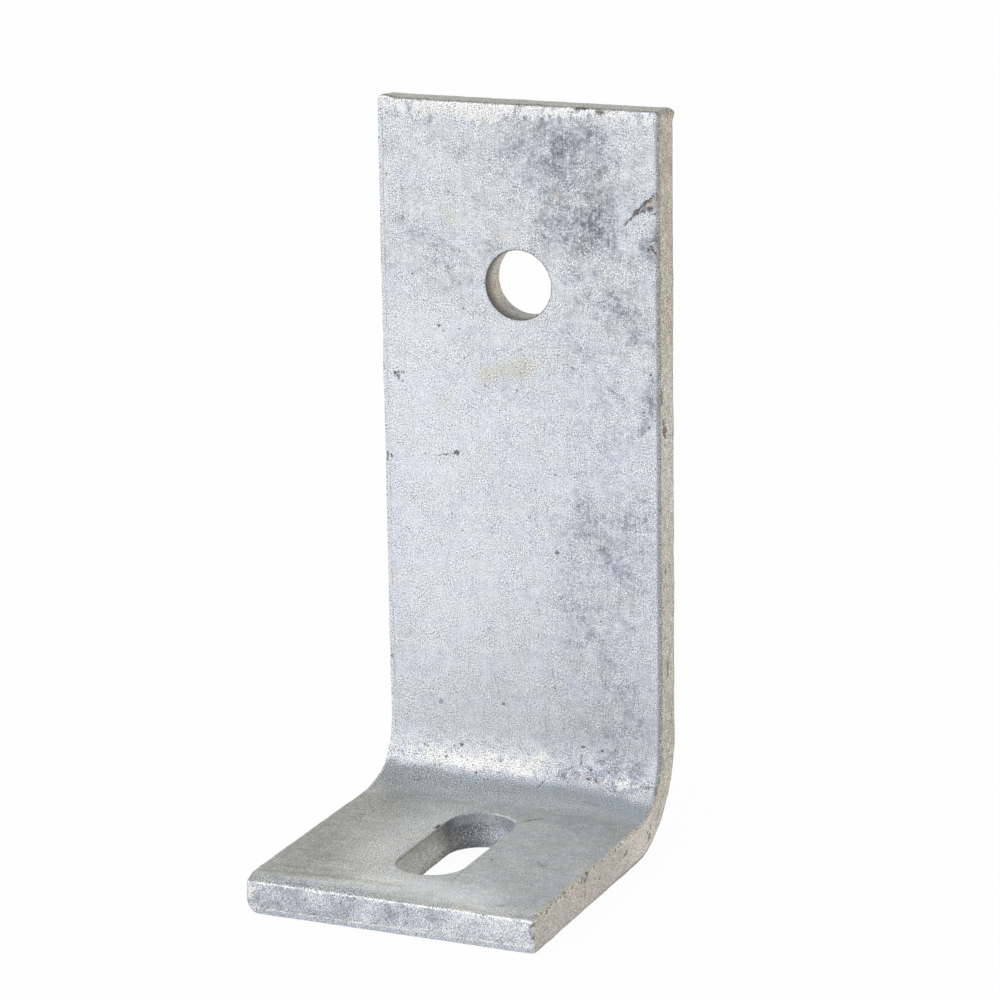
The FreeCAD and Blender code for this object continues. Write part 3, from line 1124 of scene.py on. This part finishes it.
    def grain_strength(self):
        """Fine grain: patchy on the leg, strongest in the fold above the crease, where it partly stands for
        painted glints in the fold's highlight, and faint on the foot.
        """
        band = self.rise(self.past_crease, -15, -6, 1.0, 1.5)
        leg = self.times(band, self.rise(self.drift, 0.35, 0.65, 2.6, 6.8))
        by_crease = self.rise(self.past_crease, 14, 2, 0.0, 1.6)
        foot = self.total(self.rise(self.across, 12, -18, 3.6, 7.4), by_crease)
        foot = self.times(foot, self.rise(self.drift, 0.35, 0.65, 0.7, 1.4))
        side = self.blend(self.on_foot, 9.0, 6.2)
        strength = self.blend(self.flank, self.blend(self.on_foot, leg, foot), side)
        strength = self.blend(self.end, strength, 7.6)
        return self.blend(self.punched, strength, self.blend(self.torn, 3.5, 8.5))


def new_material(name, kind=Nodes):
    """An empty material, and the nodes to fill it with."""
    material = bpy.data.materials.new(name)
    material.use_nodes = True
    return material, kind(material.node_tree)


def zinc_material():
    material, zinc = new_material("galvanised_zinc", Zinc)
    tint = zinc.mix(zinc.on_foot, zinc.leg(), zinc.foot())
    tint = zinc.mix(zinc.rise(zinc.flank, 0.45, 0.95), tint, zinc.side())
    tint = zinc.mix(zinc.rise(zinc.end, 0.25, 0.85), tint, zinc.ends())
    tint = zinc.edges(tint)
    tint = zinc.mix(zinc.rise(zinc.punched, 0.2, 0.9), tint, zinc.punched_walls())
    tint, dirt = zinc.marked(tint)
    grain_strength = zinc.grain_strength()
    grainy = zinc.total(1.0, zinc.times(zinc.swing(zinc.grain, 1.0), grain_strength))
    tint = zinc.brighter(tint, zinc.maths("MAXIMUM", grainy, 0.35))

    leg_rough = zinc.varied(0.50, speckle=0.25, clouds=0.2)
    foot_rough = zinc.varied(0.42, brushed=0.2, clouds=0.15)
    height = zinc.total(
        zinc.times(zinc.grain, grain_strength, 0.15),
        zinc.weighted(speckle=0.8, scores=0.2, specks=-0.8),
        zinc.times(dirt, -1.0),
    )
    bump = zinc.add("Bump", {"Height": height, "Strength": 0.6, "Distance": 0.0001})
    shader = zinc.add("BsdfPrincipled", {
        "Base Color": tint,
        "Metallic": 0.7,
        "Roughness": zinc.blend(zinc.on_foot, leg_rough, foot_rough),
        "Normal": bump.outputs["Normal"],
    })
    zinc.add("OutputMaterial", {"Surface": shader.outputs[0]})
    return material


def seen_directly(nodes):
    """1 for rays from the camera, off gloss or through glass."""
    path = nodes.add("LightPath")
    direct = nodes.maths("MAXIMUM", path.outputs["Is Camera Ray"], path.outputs["Is Glossy Ray"])
    return nodes.maths("MAXIMUM", direct, path.outputs["Is Transmission Ray"])


def floor_material():
    """Pale floor that reads as white, keeps a faint shadow and is clear from below."""
    material, nodes = new_material("pale_floor")
    diffuse = nodes.add("BsdfDiffuse", {"Color": (0.94, 0.94, 0.94)}).outputs[0]
    white = nodes.add("Emission", {"Color": (1, 1, 1), "Strength": 1.0}).outputs[0]
    whiteness = nodes.times(seen_directly(nodes), 0.95)
    above = nodes.add("MixShader", {0: whiteness, 1: diffuse, 2: white}).outputs[0]
    clear = nodes.add("BsdfTransparent").outputs[0]
    from_below = nodes.add("NewGeometry").outputs["Backfacing"]
    both = nodes.add("MixShader", {0: from_below, 1: above, 2: clear})
    nodes.add("OutputMaterial", {"Surface": both.outputs[0]})
    return material


def card_material(name, tint):
    material, nodes = new_material(name)
    glow = nodes.add("Emission", {"Color": tint, "Strength": 1.0})
    nodes.add("OutputMaterial", {"Surface": glow.outputs[0]})
    return material


def flat_piece(name, width, length, place, facing, material):
    """A rectangle of the stage that faces a direction."""
    mesh = bpy.data.meshes.new(name)
    x, y = width / 2, length / 2
    mesh.from_pydata([(-x, -y, 0), (x, -y, 0), (x, y, 0), (-x, y, 0)], [], [(0, 1, 2, 3)])
    mesh.materials.append(material)
    piece = new_object(name, mesh)
    piece.location = place
    piece.rotation_euler = Vector(facing).to_track_quat("Z", "Y").to_euler()
    return piece


def make_stage():
    """A floor just under the bracket, two cards that only its gloss shows, and an even pale world."""
    flat_piece("floor", 8.0, 8.0, (0, 0, -0.0002), (0, 0, 1), floor_material())
    grey = card_material("grey_card", (0.35, 0.36, 0.36))
    warm = card_material("warm_card", (0.60, 0.55, 0.49))
    ceiling = flat_piece("grey_ceiling_card", 3.0, 3.0, (0, 0, 1.7), (0, 0, -1), grey)
    side = flat_piece("warm_side_card", 2.4, 1.6, (1.6, 0.6, 0.6), (-1, -0.3, 0), warm)
    for card in (ceiling, side):
        card.visible_camera = False
        card.visible_diffuse = False
    world = bpy.data.worlds.new("studio")
    bpy.context.scene.world = world
    world.use_nodes = True
    nodes = Nodes(world.node_tree)
    dim = nodes.add("Background", {"Color": (0.97, 0.985, 1.0), "Strength": 0.85}).outputs[0]
    white = nodes.add("Background", {"Color": (1, 1, 1), "Strength": 1.0}).outputs[0]
    both = nodes.add("MixShader", {0: seen_directly(nodes), 1: dim, 2: white})
    nodes.add("OutputWorld", {"Surface": both.outputs[0]})


def make_light():
    """One softbox, up and to the left of the camera."""
    place = Vector((-0.75, -0.95, 1.25))
    target = Vector((0, 0.02, 0.05))
    light = bpy.data.lights.new("key_softbox", "AREA")
    light.shape = "RECTANGLE"
    light.size, light.size_y = 0.9, 0.7
    light.energy = 4.5
    lamp = new_object("key_softbox", light)
    lamp.location = place
    lamp.rotation_euler = (target - place).to_track_quat("-Z", "Y").to_euler()


def make_camera():
    """Camera at the photograph's viewing angle, placed in millimetres."""
    azimuth, elevation, roll = (math.radians(angle) for angle in (23.767, 14.963, -0.887))
    distance = 1023.5
    target = Vector((-1.757, 29.0, 93.936))
    focal_pixels, image_pixels = 3869.0, 1000.0
    flat = math.cos(elevation)
    back = Vector((math.sin(azimuth) * flat, -math.cos(azimuth) * flat, math.sin(elevation)))
    level = Vector((math.cos(azimuth), math.sin(azimuth), 0))
    upright = back.cross(level)
    right = math.cos(roll) * level + math.sin(roll) * upright
    up = math.cos(roll) * upright - math.sin(roll) * level
    camera = bpy.data.cameras.new("photo_camera")
    camera.lens = camera.sensor_width * focal_pixels / image_pixels
    camera.clip_start, camera.clip_end = 0.05, 50.0
    viewer = new_object("photo_camera", camera)
    turned = Matrix((right, up, back)).transposed().to_4x4()
    viewer.matrix_world = Matrix.Translation((target + back * distance) * MM) @ turned
    bpy.context.scene.camera = viewer


bracket = make_bar()
bracket.data.materials.append(zinc_material())
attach(bracket, "root")
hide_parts("angle_bracket")
make_stage()
make_light()
make_camera()
bpy.context.scene.view_settings.view_transform = "Standard"
